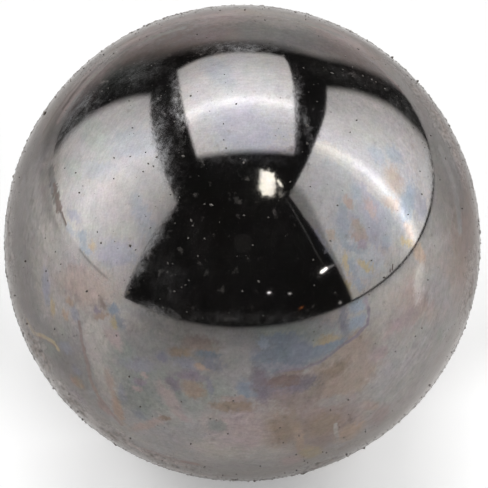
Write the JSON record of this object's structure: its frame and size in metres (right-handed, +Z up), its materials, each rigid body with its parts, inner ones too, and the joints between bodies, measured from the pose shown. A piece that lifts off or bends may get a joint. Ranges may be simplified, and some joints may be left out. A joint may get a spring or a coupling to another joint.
{
  "type": "steel ball",
  "caption": "Solid polished steel ball, round in every direction, with no hole, flat or mark, and a thin smeared film of oil and dust.",
  "frame": {"origin": "centre of the ball", "axes": "+Z up; the ball is the same along every axis"},
  "size_m": [0.0254, 0.0254, 0.0254],
  "materials": {
    "steel": "lapped mirror finish under a thin oil film, with smears and dust"
  },
  "bodies": {
    "root": {"ball": "steel"}
  },
  "joints": []
}
